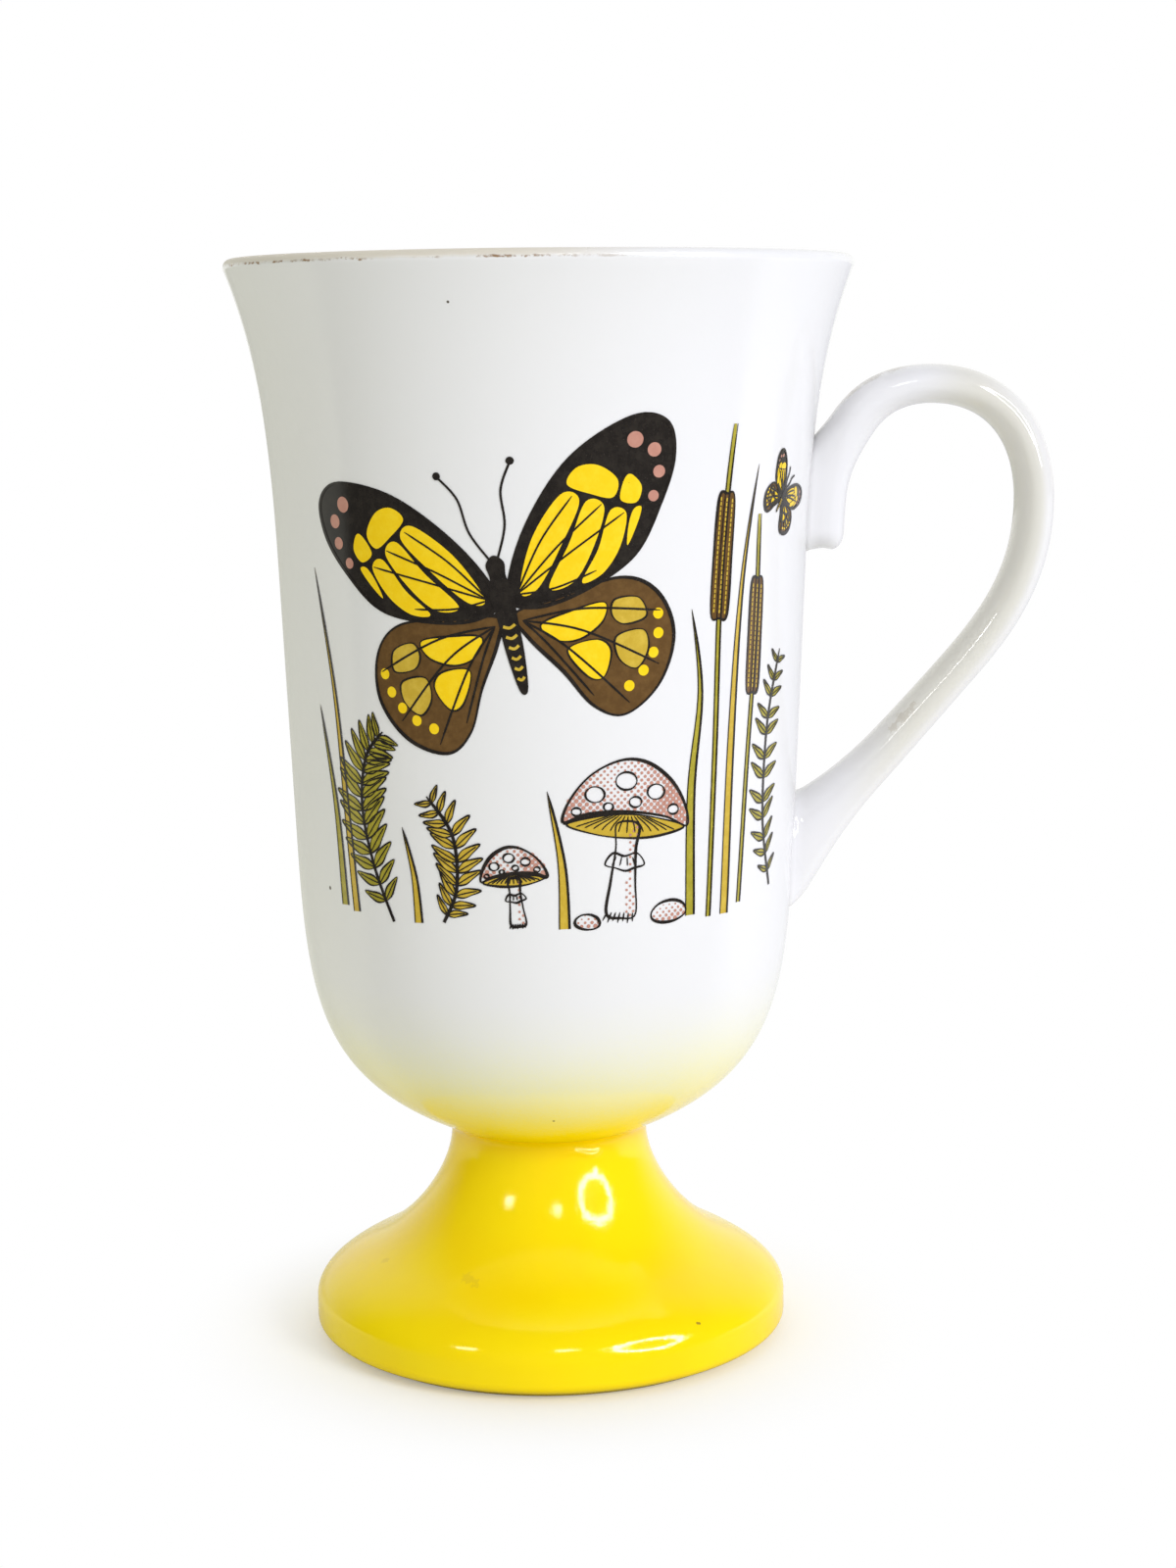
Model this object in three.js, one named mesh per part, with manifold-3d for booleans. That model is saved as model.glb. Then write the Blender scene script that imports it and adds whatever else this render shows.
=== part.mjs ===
// Pedestal mug in glazed porcelain: a flared bowl, a hollow pedestal foot and an ear handle.
// The three clay pieces are luted with slip, so each slip layer is a solid of its own.
// Millimetres, +Z up. The mug stands on z = 0 and the handle points along +X.
import * as THREE from 'three';
import { mergeVertices } from 'three/addons/utils/BufferGeometryUtils.js';
import Module from 'manifold-3d';

const wasm = await Module();
wasm.setup();

const degrees = THREE.MathUtils.degToRad;

// Overall
const mugHeight = 133;
const neckHeight = 25.8; // top of the pedestal foot
const neckRadius = 12.2;

// Slip layers
const neckSlip = 1.0; // thickness between the foot and the bowl
const neckSlipSpread = 0.4; // how far the slip spreads under the bowl
const neckSlipHollow = 0.35; // depth of its concave edge
const handleSlip = 0.6; // thickness between the handle and the wall
const lutingGap = 0.3; // clearance on each curved face of a slip layer

// Bowl
const rimRadius = 37.75;
const lipRadius = 1; // round of the lip
const flareHeight = 37; // from the lip down to the straight wall
const flareLean = degrees(21.2); // lean of the wall at the lip
const flareWallRun = 13.8;
const flareLipRun = 11.5;
const bellyRadius = 30.6; // where the belly meets the straight wall
const bellyHeight = 35.2; // above the bowl's seat
const bellySlope = degrees(23.6); // slope where the belly leaves the seat
const bellySeatRun = 16.8;
const bellyWallRun = 20.4;
const wallTaper = degrees(2.4);
const bowlWall = 3;
const bowlFloor = 3.2;
const floorRun = 20; // flat stretch of the curve inside the belly
const insideWallRun = 18;

// Pedestal foot
const footRadius = 29.5;
const sideHeight = 2.4; // where the upright side starts, above the table
const sideBand = 2.2; // height of the upright side
const sideTuck = 3; // from the side in to the ring on the table
const tuckSlope = degrees(30);
const tuckRun = 1.8;
const sideRun = 1.3;
const ringWidth = 3.2; // unglazed ring that stands on the table
const waistInset = 7; // from the side in to the turn of the curve
const waistRise = 6.35; // from the top of the side up to the turn of the curve
const waistSlope = degrees(28.7);
const shoulderRun = 2.85;
const waistLowRun = 3.5;
const waistHighRun = 6.6;
const neckRun = 5;
const hollowDepth = 15.5; // recess under the foot
const hollowRingRun = 7.5;
const hollowTopRun = 10;

// Handle: upper heights are drops from the lip, and reaches are measured out from the wall
const heelDrop = 35.1; // lower end of the tail that lies on the wall
const tailStandoff = 2.4; // centre of the tail from the wall
const tailRun = 14.3;
const tailLength = 7.2; // pressed flat on the wall
const bendLength = 15.6; // from the heel to where the bend is clear of the wall
const crownDrop = 15.4; // centre line at its highest
const crownOut = 15;
const crownInRun = 8.6;
const crownOutRun = 8.2;
const reachDrop = 29.4; // centre line at its furthest out
const reachOut = 27.8;
const reachRun = 8.3;
const armShare = 0.53; // how far up from the root to the furthest point the arm's middle lies
const armOut = 19.1;
const armAngle = degrees(49);
const armRun = 8;
const rootRise = 34.1; // where the centre line meets the wall, above the bowl's seat
const rootAngle = degrees(45);
const rootRun = 9;
const rootDepth = 3; // how far the centre line runs on, inside the wall
const tailBacking = 4.3; // from the tail's centre back into the wall
const tailThickness = 4.4;
const tailWidth = 8.8;
const bendThickness = 6;
const armThickness = 4.7;
const armWidth = 8.2;
const rootThickness = 5.6;
const rootWidth = 8.8;
const heelRound = 2.2; // length of the rounded heel
const heelSquareness = 2.6;
const upperFlare = { reach: 3.5, up: 1.5, down: 1.5, across: 0.8 };
const lowerFlare = { reach: 10, up: 3.6, down: 7.5, across: 1 };
const padDrop = 7.1; // blunt lower end of the root, below where its centre line meets the wall
const padSlope = 0.57; // rise of that end with the distance from the wall
const padRound = 1.2;
const rootMargin = 16; // how far below the centre line the cut for the lower root starts

// Facets
const roundSegments = 60;
const curveSteps = 9;
const lipSteps = 4;
const handleRings = 50;
const handleSides = 26;
const samePoint = 1e-4;

// A curve's control point, a run away from its end at an angle above the horizontal
function along(point, angle, run) {
  return new THREE.Vector2(point.x + run * Math.cos(angle), point.y + run * Math.sin(angle));
}

// Points of a chain of curves, each listed once
function outline(...curves) {
  const points = [];
  for (const [curve, steps] of curves) {
    for (const point of curve.getPoints(steps)) {
      const last = points.at(-1);
      if (!last || last.distanceTo(point) > samePoint) points.push(point);
    }
  }
  return points;
}

function line(from, to) {
  return [new THREE.LineCurve(from, to), 1];
}

function bend(from, fromControl, toControl, to) {
  return [new THREE.CubicBezierCurve(from, fromControl, toControl, to), curveSteps];
}

// Solid of revolution about +Z from radius and height points, outside first
function revolve(points) {
  return new THREE.LatheGeometry(points, roundSegments).rotateX(Math.PI / 2);
}

const upright = Math.PI / 2;
const vector = (x, y) => new THREE.Vector2(x, y);

// Bowl: seat, belly, wall and flare outside, and the same wall inside
const seatHeight = neckHeight + neckSlip;
const seat = vector(neckRadius + neckSlipSpread, seatHeight);
const bellyTop = vector(bellyRadius, seatHeight + bellyHeight);
const flareFoot = vector(0, mugHeight - flareHeight);
flareFoot.x = bellyRadius + (flareFoot.y - bellyTop.y) * Math.tan(wallTaper);
const lipCentre = vector(rimRadius - lipRadius, mugHeight - lipRadius);
const lipOuter = along(lipCentre, -flareLean, lipRadius);
const lipInner = along(lipCentre, Math.PI - flareLean, lipRadius);
const wallLean = upright - wallTaper;
const lipLean = upright - flareLean;

const wallOutline = outline(
  bend(seat, along(seat, bellySlope, bellySeatRun), along(bellyTop, wallLean, -bellyWallRun), bellyTop),
  line(bellyTop, flareFoot),
  bend(flareFoot, along(flareFoot, wallLean, flareWallRun), along(lipOuter, lipLean, -flareLipRun), lipOuter),
);

// Radius of the bowl's outside at a height
function wallRadius(height) {
  const above = wallOutline.findIndex((point) => point.y >= height);
  const high = above > 0 ? above : wallOutline.length - 1;
  const a = wallOutline[high - 1];
  const b = wallOutline[high];
  return THREE.MathUtils.mapLinear(height, a.y, b.y, a.x, b.x);
}

function lipArc(from, to) {
  return [new THREE.EllipseCurve(lipCentre.x, lipCentre.y, lipRadius, lipRadius, from, to), lipSteps];
}

function bowlGeometry() {
  const insideFlare = vector(flareFoot.x - bowlWall, flareFoot.y);
  const insideBelly = vector(bellyTop.x - bowlWall, bellyTop.y);
  const floor = vector(0, seatHeight + bowlFloor);
  const lipControl = along(lipInner, lipLean, -flareLipRun);
  const flareControl = along(insideFlare, wallLean, flareWallRun);
  const bellyControl = along(insideBelly, wallLean, -insideWallRun);
  const rimAndInside = outline(
    lipArc(-flareLean, upright),
    lipArc(upright, Math.PI - flareLean),
    bend(lipInner, lipControl, flareControl, insideFlare),
    line(insideFlare, insideBelly),
    bend(insideBelly, bellyControl, along(floor, 0, floorRun), floor),
  );
  return revolve([vector(0, seatHeight), ...wallOutline, ...rimAndInside.slice(1)]);
}

// Pedestal foot: table ring, upright side, shoulder, waist and neck outside, a bell-shaped recess inside
function footGeometry() {
  const ringOuter = vector(footRadius - sideTuck, 0);
  const ringInner = vector(ringOuter.x - ringWidth, 0);
  const sideLow = vector(footRadius, sideHeight);
  const sideTop = vector(footRadius, sideHeight + sideBand);
  const waist = vector(footRadius - waistInset, sideTop.y + waistRise);
  const waistLean = Math.PI - waistSlope;
  const neck = vector(neckRadius, neckHeight);
  const hollowTop = vector(0, hollowDepth);
  const ringControl = along(ringInner, upright, hollowRingRun);
  return revolve(outline(
    bend(hollowTop, along(hollowTop, 0, hollowTopRun), ringControl, ringInner),
    line(ringInner, ringOuter),
    bend(ringOuter, along(ringOuter, tuckSlope, tuckRun), along(sideLow, upright, -sideRun), sideLow),
    line(sideLow, sideTop),
    bend(sideTop, along(sideTop, upright, shoulderRun), along(waist, waistLean, -waistLowRun), waist),
    bend(waist, along(waist, waistLean, waistHighRun), along(neck, upright, -neckRun), neck),
    line(neck, vector(0, neckHeight)),
  ));
}

// Slip squeezed between the foot and the bowl, with a concave edge
function neckSlipGeometry() {
  const low = vector(neckRadius, neckHeight);
  const waist = vector(neckRadius - neckSlipHollow, neckHeight + neckSlip / 2);
  const edge = new THREE.QuadraticBezierCurve(low, waist, seat);
  return revolve(outline(
    line(vector(0, neckHeight), low),
    [edge, lipSteps],
    line(seat, vector(0, seatHeight)),
  ));
}

// Handle centre line in the XZ plane, from the heel over the crown and down the arm into the wall
const heelHeight = mugHeight - heelDrop;
const crownHeight = mugHeight - crownDrop;
const reachHeight = mugHeight - reachDrop;
const rootHeight = seatHeight + rootRise;
const armHeight = THREE.MathUtils.lerp(rootHeight, reachHeight, armShare);
const tailWall = wallRadius(heelHeight);
const rootBottom = rootHeight - rootMargin;
const crownTop = crownHeight + armThickness;
const place = (x, z) => new THREE.Vector3(x, 0, z);
const stepFrom = (point, way, run) => point.clone().addScaledVector(way, run);

function handleCurve() {
  const heel = place(tailWall + tailStandoff, heelHeight);
  const crown = place(tailWall + crownOut, crownHeight);
  const reach = place(tailWall + reachOut, reachHeight);
  const arm = place(tailWall + armOut, armHeight);
  const root = place(wallRadius(rootHeight), rootHeight);
  const up = place(0, 1);
  const out = place(1, 0);
  const armWay = place(-Math.cos(armAngle), -Math.sin(armAngle));
  const rootWay = place(-Math.cos(rootAngle), -Math.sin(rootAngle));
  const end = stepFrom(root, rootWay, rootDepth);
  const stretches = [
    [heel, stepFrom(heel, up, tailRun), stepFrom(crown, out, -crownInRun), crown],
    [crown, stepFrom(crown, out, crownOutRun), stepFrom(reach, up, reachRun), reach],
    [reach, stepFrom(reach, up, -reachRun), stepFrom(arm, armWay, -armRun), arm],
    [arm, stepFrom(arm, armWay, armRun), stepFrom(root, rootWay, -rootRun), end],
  ];
  const curve = new THREE.CurvePath();
  for (const points of stretches) curve.add(new THREE.CubicBezierCurve3(...points));
  return curve;
}

// Half sizes of the oval section: back to the wall, front and side, at a length along the centre line
function handleSection(length, [crownEnd, reachEnd, armEnd, rootEnd]) {
  const blend = (from, to, start, stop) =>
    THREE.MathUtils.lerp(from, to, THREE.MathUtils.smoothstep(length, start, stop));
  const throat = blend(tailThickness, bendThickness, tailLength, bendLength);
  const front = blend(throat, armThickness, bendLength, crownEnd) / 2;
  const back = blend(tailBacking, armThickness / 2, tailLength, bendLength);
  const side = blend(tailWidth, armWidth, tailLength, reachEnd) / 2;
  const rootGrowth = blend(0, rootThickness - armThickness, armEnd, rootEnd) / 2;
  const rootSpread = blend(0, rootWidth - armWidth, armEnd, rootEnd) / 2;
  const heel = Math.min(1, length / heelRound);
  const round = (1 - (1 - heel) ** heelSquareness) ** (1 / heelSquareness);
  return {
    back: round * (back + rootGrowth),
    front: round * (front + rootGrowth),
    side: round * (side + rootSpread),
  };
}

// Close to the wall a root spreads along it, and the lower root ends in a blunt pad
function flareOut(point, outwards) {
  const radial = new THREE.Vector3(point.x, point.y, 0).normalize();
  const height = Math.max(0, Math.hypot(point.x, point.y) - wallRadius(point.z));
  const flare = point.z > armHeight ? upperFlare : lowerFlare;
  const amount = Math.max(0, 1 - height / flare.reach) ** 2;
  const spread = outwards.clone().addScaledVector(radial, -outwards.dot(radial));
  const rise = spread.z > 0 ? flare.up : flare.down;
  spread.multiply(new THREE.Vector3(flare.across, flare.across, rise));
  point.addScaledVector(spread, amount);
  if (flare === lowerFlare) {
    const padEnd = rootHeight - padDrop + padSlope * height;
    point.z = (point.z + padEnd + Math.hypot(point.z - padEnd, padRound)) / 2;
  }
}

// The whole handle as one closed sweep, with its root running on into the wall
function handleSweep() {
  const curve = handleCurve();
  const stretchEnds = curve.getCurveLengths();
  const across = new THREE.Vector3(0, 1, 0);
  const positions = [];
  const triangles = [];
  for (let ring = 0; ring <= handleRings; ring += 1) {
    // Rings crowd together at the heel and at the root
    const share = ring / handleRings;
    const spaced = share - Math.sin(2 * Math.PI * share) / (3 * Math.PI);
    const centre = curve.getPointAt(spaced);
    const away = across.clone().cross(curve.getTangentAt(spaced)).normalize();
    const size = handleSection(spaced * stretchEnds.at(-1), stretchEnds);
    for (let side = 0; side < handleSides; side += 1) {
      const turn = (2 * Math.PI * side) / handleSides;
      const outwards = away.clone().multiplyScalar(Math.cos(turn)).addScaledVector(across, Math.sin(turn));
      const depth = Math.cos(turn) > 0 ? size.front : size.back;
      const point = centre.clone()
        .addScaledVector(away, depth * Math.cos(turn))
        .addScaledVector(across, size.side * Math.sin(turn));
      if (ring > 0) flareOut(point, outwards);
      positions.push(point.x, point.y, point.z);
      if (ring > 0) {
        const next = (side + 1) % handleSides;
        const [a, b] = [ring * handleSides + side, ring * handleSides + next];
        triangles.push(a, b - handleSides, b, a, a - handleSides, b - handleSides);
      }
    }
  }
  const last = handleRings * handleSides;
  for (let side = 1; side < handleSides - 1; side += 1) {
    triangles.push(last, last + side, last + side + 1);
  }
  const geometry = new THREE.BufferGeometry();
  geometry.setAttribute('position', new THREE.Float32BufferAttribute(positions, 3));
  geometry.setIndex(triangles);
  return geometry;
}

// Space within a clearance of the bowl's wall, between two heights: filled, or only a layer
function wallSpace(low, high, outer, inner) {
  const heights = [];
  for (let step = 0; step <= curveSteps; step += 1) {
    heights.push(THREE.MathUtils.lerp(low, high, step / curveSteps));
  }
  const grown = heights.map((height) => vector(wallRadius(height) + outer, height));
  if (inner === undefined) return revolve([vector(0, low), ...grown, vector(0, high)]);
  const back = heights.map((height) => vector(wallRadius(height) + inner, height)).reverse();
  return revolve([...grown, ...back, grown[0]]);
}

function toSolid(geometry) {
  const bare = geometry.clone();
  bare.deleteAttribute('normal');
  bare.deleteAttribute('uv');
  const merged = mergeVertices(bare);
  const index = merged.getIndex().array;
  const triangles = [];
  for (let k = 0; k < index.length; k += 3) {
    const [a, b, c] = [index[k], index[k + 1], index[k + 2]];
    if (a !== b && b !== c && c !== a) triangles.push(a, b, c);
  }
  return new wasm.Manifold(new wasm.Mesh({
    numProp: 3,
    vertProperties: new Float32Array(merged.getAttribute('position').array),
    triVerts: new Uint32Array(triangles),
  }));
}

function toGeometry(solid) {
  const mesh = solid.getMesh();
  const geometry = new THREE.BufferGeometry();
  geometry.setAttribute('position', new THREE.BufferAttribute(mesh.vertProperties, 3));
  geometry.setIndex(new THREE.BufferAttribute(mesh.triVerts, 1));
  geometry.computeVertexNormals();
  return geometry;
}

const slipOuter = lutingGap + handleSlip;
const handleSeat = slipOuter + lutingGap;
const sweep = toSolid(handleSweep());

// The handle ends on the slip, clear of the wall
function handleGeometry() {
  return toGeometry(sweep.subtract(toSolid(wallSpace(rootBottom, crownTop, handleSeat))));
}

// The layer of slip under one root follows the wall and ends flush with the root's edge
function rootSlipGeometry(low, high) {
  return toGeometry(sweep.intersect(toSolid(wallSpace(low, high, slipOuter, lutingGap))));
}

const whiteGlaze = { color: 0xf3f4f1, roughness: 0.12, metalness: 0 };
const yellowGlaze = { color: 0xfbe000, roughness: 0.12, metalness: 0 };
const slipClay = { color: 0xeeebe2, roughness: 0.6, metalness: 0 };

function piece(name, geometry, look) {
  const mesh = new THREE.Mesh(geometry, new THREE.MeshStandardMaterial(look));
  mesh.name = name;
  return mesh;
}

const mug = new THREE.Group();
mug.add(
  piece('bowl', bowlGeometry(), whiteGlaze),
  piece('pedestal_foot', footGeometry(), yellowGlaze),
  piece('neck_slip_joint', neckSlipGeometry(), slipClay),
  piece('handle', handleGeometry(), whiteGlaze),
  piece('upper_handle_slip_joint', rootSlipGeometry(armHeight, crownTop), slipClay),
  piece('lower_handle_slip_joint', rootSlipGeometry(rootBottom, armHeight), slipClay),
);

// The origin is under the middle of the mug and its handle together
const middle = new THREE.Box3().setFromObject(mug).getCenter(new THREE.Vector3());
mug.position.x = -middle.x;

const part = new THREE.Group();
part.add(mug);

export default part;
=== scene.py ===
"""Looks of the pedestal mug: glazed bowl, foot and handle, a printed panel, and a white studio."""
import math
import random

import bpy
import numpy as np
from mathutils import Matrix, Vector
from mathutils.geometry import delaunay_2d_cdt


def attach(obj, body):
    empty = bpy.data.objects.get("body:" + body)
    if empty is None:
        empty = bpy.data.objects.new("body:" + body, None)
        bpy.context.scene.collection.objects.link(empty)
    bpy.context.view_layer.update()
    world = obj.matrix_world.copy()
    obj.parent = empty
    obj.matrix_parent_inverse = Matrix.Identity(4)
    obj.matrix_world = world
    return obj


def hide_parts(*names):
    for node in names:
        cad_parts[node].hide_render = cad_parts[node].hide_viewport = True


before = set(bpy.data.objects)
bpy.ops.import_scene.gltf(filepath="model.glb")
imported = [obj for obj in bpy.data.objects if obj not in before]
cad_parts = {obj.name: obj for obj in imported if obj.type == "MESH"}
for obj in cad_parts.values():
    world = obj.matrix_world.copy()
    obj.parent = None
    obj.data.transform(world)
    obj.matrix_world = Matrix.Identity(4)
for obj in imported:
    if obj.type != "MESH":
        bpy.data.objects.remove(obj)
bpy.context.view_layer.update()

MM = 0.001
RNG = random.Random(7)

# Sizes of the mug, in millimetres and degrees, shared with the solids
AXIS_X = -12.258  # the mug's own axis in the part's frame
MUG_HEIGHT = 133.0
NECK_HEIGHT, NECK_RADIUS = 25.8, 12.2
SEAT_HEIGHT, SEAT_RADIUS = 26.8, 12.6
RIM_RADIUS, LIP_RADIUS = 37.73, 1.0
FLARE_HEIGHT, FLARE_LEAN, FLARE_WALL_RUN, FLARE_LIP_RUN = 37.0, 21.2, 13.8, 11.5
BELLY_RADIUS, BELLY_HEIGHT, BELLY_SLOPE = 30.6, 35.2, 23.6
BELLY_SEAT_RUN, BELLY_WALL_RUN, WALL_TAPER = 16.8, 20.4, 2.4
BOWL_WALL, BOWL_FLOOR, FLOOR_RUN, INSIDE_WALL_RUN = 3.0, 3.2, 20.0, 18.0
FOOT_RADIUS, SIDE_HEIGHT, SIDE_BAND, SIDE_TUCK = 29.49, 2.4, 2.2, 3.0
TUCK_SLOPE, TUCK_RUN, SIDE_RUN, RING_WIDTH = 30.0, 1.8, 1.3, 3.2
WAIST_INSET, WAIST_RISE, WAIST_SLOPE = 7.0, 6.35, 28.7
SHOULDER_RUN, WAIST_LOW_RUN, WAIST_HIGH_RUN, NECK_RUN = 2.85, 3.5, 6.6, 5.0
HOLLOW_DEPTH, HOLLOW_RING_RUN, HOLLOW_TOP_RUN = 15.5, 7.5, 10.0

# Glaze that fills the crease between the foot and the bowl
CREASE_REACH, CREASE_OVERLAP, CREASE_NECK_RUN = 0.35, 0.05, 0.6
CREASE_ANGLE, CREASE_RUN, FOOT_CAP_RISE = 215, 0.3, 0.3
# A bead of the same glaze under the bowl; its angle is to the right of the front
BEAD_ANGLE, BEAD_SPAN, BEAD_HEIGHT, BEAD_REACH, BEAD_RISE = 20.5, 13.0, 25.2, 0.6, 0.26
BEAD_WAVE, BEAD_TURNS = -0.28, 3.6

# Fineness of the round meshes
ROUND_SEGMENTS = 256
BELLY_STEPS, WALL_STEPS, FLARE_STEPS, SEAT_STEPS, LIP_STEPS = 64, 12, 30, 3, 18
INSIDE_FLARE_STEPS, INSIDE_WALL_STEPS, INSIDE_BELLY_STEPS = 24, 6, 40
HOLLOW_STEPS, RING_STEPS, TUCK_STEPS, SIDE_STEPS = 30, 4, 14, 4
SHOULDER_STEPS, NECK_STEPS, CREASE_STEPS, CAP_STEPS = 28, 72, 8, 2


# Curves
def along(point, angle, run):
    a = math.radians(angle)
    return (point[0] + run * math.cos(a), point[1] + run * math.sin(a))


def bezier(p0, p1, p2, p3, steps):
    p0, p1, p2, p3 = (np.array(p, float) for p in (p0, p1, p2, p3))
    t = np.linspace(0, 1, steps + 1)[:, None]
    return (1 - t) ** 3 * p0 + 3 * (1 - t) ** 2 * t * p1 + 3 * (1 - t) * t * t * p2 + t ** 3 * p3


def bend(start, start_angle, start_run, stop, stop_angle, stop_run, steps):
    """A curve that leaves start at one angle and meets stop at another."""
    return bezier(start, along(start, start_angle, start_run), along(stop, stop_angle, stop_run), stop, steps)


def straight(p0, p1, steps):
    t = np.linspace(0, 1, steps + 1)[:, None]
    return (1 - t) * np.array(p0, float) + t * np.array(p1, float)


def arc(centre, radius, start, stop, steps):
    a = np.radians(np.linspace(start, stop, steps + 1))
    return np.c_[centre[0] + radius * np.cos(a), centre[1] + radius * np.sin(a)]


def chain(*parts):
    points = [parts[0]]
    for part in parts[1:]:
        points.append(part[1:])
    return np.concatenate(points)


seat = (SEAT_RADIUS, SEAT_HEIGHT)
belly_top = (BELLY_RADIUS, SEAT_HEIGHT + BELLY_HEIGHT)
flare_z = MUG_HEIGHT - FLARE_HEIGHT
flare_foot = (BELLY_RADIUS + (flare_z - belly_top[1]) * math.tan(math.radians(WALL_TAPER)), flare_z)
lip_centre = (RIM_RADIUS - LIP_RADIUS, MUG_HEIGHT - LIP_RADIUS)
lip_outer = along(lip_centre, -FLARE_LEAN, LIP_RADIUS)
lip_inner = along(lip_centre, 180 - FLARE_LEAN, LIP_RADIUS)
wall_lean, lip_lean = 90 - WALL_TAPER, 90 - FLARE_LEAN

wall_outline = chain(
    bend(seat, BELLY_SLOPE, BELLY_SEAT_RUN, belly_top, wall_lean, -BELLY_WALL_RUN, BELLY_STEPS),
    straight(belly_top, flare_foot, WALL_STEPS),
    bend(flare_foot, wall_lean, FLARE_WALL_RUN, lip_outer, lip_lean, -FLARE_LIP_RUN, FLARE_STEPS),
)


def wall_radius(z):
    return np.interp(z, wall_outline[:, 1], wall_outline[:, 0])


# Meshes
def mesh_object(name, points, faces):
    """A smooth mesh from points in millimetres about the mug's axis."""
    points = (np.asarray(points, float) + (AXIS_X, 0, 0)) * MM
    mesh = bpy.data.meshes.new(name)
    mesh.from_pydata(points.tolist(), [], [list(map(int, face)) for face in faces])
    mesh.validate()
    mesh.polygons.foreach_set("use_smooth", [True] * len(mesh.polygons))
    mesh.update()
    obj = bpy.data.objects.new(name, mesh)
    bpy.context.scene.collection.objects.link(obj)
    return obj


def revolve(name, profile):
    """A closed body of revolution: the profile starts and ends on the axis."""
    rings = profile[1:-1]
    count = ROUND_SEGMENTS
    angles = np.linspace(0, 2 * math.pi, count, endpoint=False)
    points = [(0, 0, profile[0][1])]
    for r, z in rings:
        points += list(zip(r * np.cos(angles), r * np.sin(angles), np.full(count, z)))
    points.append((0, 0, profile[-1][1]))
    last = 1 + (len(rings) - 1) * count
    faces = []
    for s in range(count):
        after = (s + 1) % count
        faces.append((0, 1 + after, 1 + s))
        for k in range(len(rings) - 1):
            a, b = 1 + k * count, 1 + (k + 1) * count
            faces.append((a + s, a + after, b + after, b + s))
        faces.append((last + s, last + after, len(points) - 1))
    return mesh_object(name, points, faces)


def split_materials(obj, rows, low, high):
    """Gives the faces below a row of the profile one material and the others another."""
    for face in obj.data.polygons:
        row = max((v - 1) // ROUND_SEGMENTS for v in face.vertices)
        face.material_index = low if row < rows else high


def make_bowl():
    inside_flare = (flare_foot[0] - BOWL_WALL, flare_foot[1])
    inside_belly = (belly_top[0] - BOWL_WALL, belly_top[1])
    floor = (0, SEAT_HEIGHT + BOWL_FLOOR)
    profile = chain(
        straight((0, SEAT_HEIGHT), seat, SEAT_STEPS),
        wall_outline,
        arc(lip_centre, LIP_RADIUS, -FLARE_LEAN, 180 - FLARE_LEAN, LIP_STEPS),
        bend(
            lip_inner, lip_lean, -FLARE_LIP_RUN,
            inside_flare, wall_lean, FLARE_WALL_RUN, INSIDE_FLARE_STEPS,
        ),
        straight(inside_flare, inside_belly, INSIDE_WALL_STEPS),
        bend(inside_belly, wall_lean, -INSIDE_WALL_RUN, floor, 0, FLOOR_RUN, INSIDE_BELLY_STEPS),
    )
    obj = revolve("bowl_glazed", profile)
    split_materials(obj, SEAT_STEPS + len(wall_outline) + LIP_STEPS // 2, 0, 1)
    return obj


def make_pedestal():
    ring_outer = (FOOT_RADIUS - SIDE_TUCK, 0)
    ring_inner = (ring_outer[0] - RING_WIDTH, 0)
    side_low = (FOOT_RADIUS, SIDE_HEIGHT)
    side_top = (FOOT_RADIUS, SIDE_HEIGHT + SIDE_BAND)
    waist = (FOOT_RADIUS - WAIST_INSET, side_top[1] + WAIST_RISE)
    waist_lean = 180 - WAIST_SLOPE
    neck = (NECK_RADIUS, NECK_HEIGHT)
    hollow_top = (0, HOLLOW_DEPTH)
    crease_radius = SEAT_RADIUS + CREASE_REACH
    belly = wall_outline[:BELLY_STEPS]
    crease_height = float(np.interp(crease_radius, belly[:, 0], belly[:, 1])) + CREASE_OVERLAP
    crease = (crease_radius, crease_height)
    profile = chain(
        bend(hollow_top, 0, HOLLOW_TOP_RUN, ring_inner, 90, HOLLOW_RING_RUN, HOLLOW_STEPS),
        straight(ring_inner, ring_outer, RING_STEPS),
        bend(ring_outer, TUCK_SLOPE, TUCK_RUN, side_low, 90, -SIDE_RUN, TUCK_STEPS),
        straight(side_low, side_top, SIDE_STEPS),
        bend(side_top, 90, SHOULDER_RUN, waist, waist_lean, -WAIST_LOW_RUN, SHOULDER_STEPS),
        bend(waist, waist_lean, WAIST_HIGH_RUN, neck, 90, -NECK_RUN, NECK_STEPS),
        bend(neck, 90, CREASE_NECK_RUN, crease, CREASE_ANGLE, CREASE_RUN, CREASE_STEPS),
        straight(crease, (0, SEAT_HEIGHT + FOOT_CAP_RISE), CAP_STEPS),
    )
    obj = revolve("pedestal_glazed", profile)
    split_materials(obj, HOLLOW_STEPS + RING_STEPS, 1, 0)
    pool_glaze(obj)
    return obj


def pool_glaze(obj):
    """A short wavy bead of glaze that ran together under the bowl, to the right of the front."""
    for vertex in obj.data.vertices:
        x, y, z = vertex.co.x / MM - AXIS_X, vertex.co.y / MM, vertex.co.z / MM
        radius = math.hypot(x, y)
        share = (math.degrees(math.atan2(x, -y)) - BEAD_ANGLE) / BEAD_SPAN
        if abs(share) < 1 and radius < SEAT_RADIUS:
            across = (z - BEAD_HEIGHT - BEAD_WAVE * math.sin(BEAD_TURNS * share)) / BEAD_REACH
            rise = BEAD_RISE * max(0.0, 1 - across * across) ** 2 * (1 - share ** 4)
            vertex.co += Vector((x, y, 0)) * (rise / max(radius, 1.0) * MM)


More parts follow.
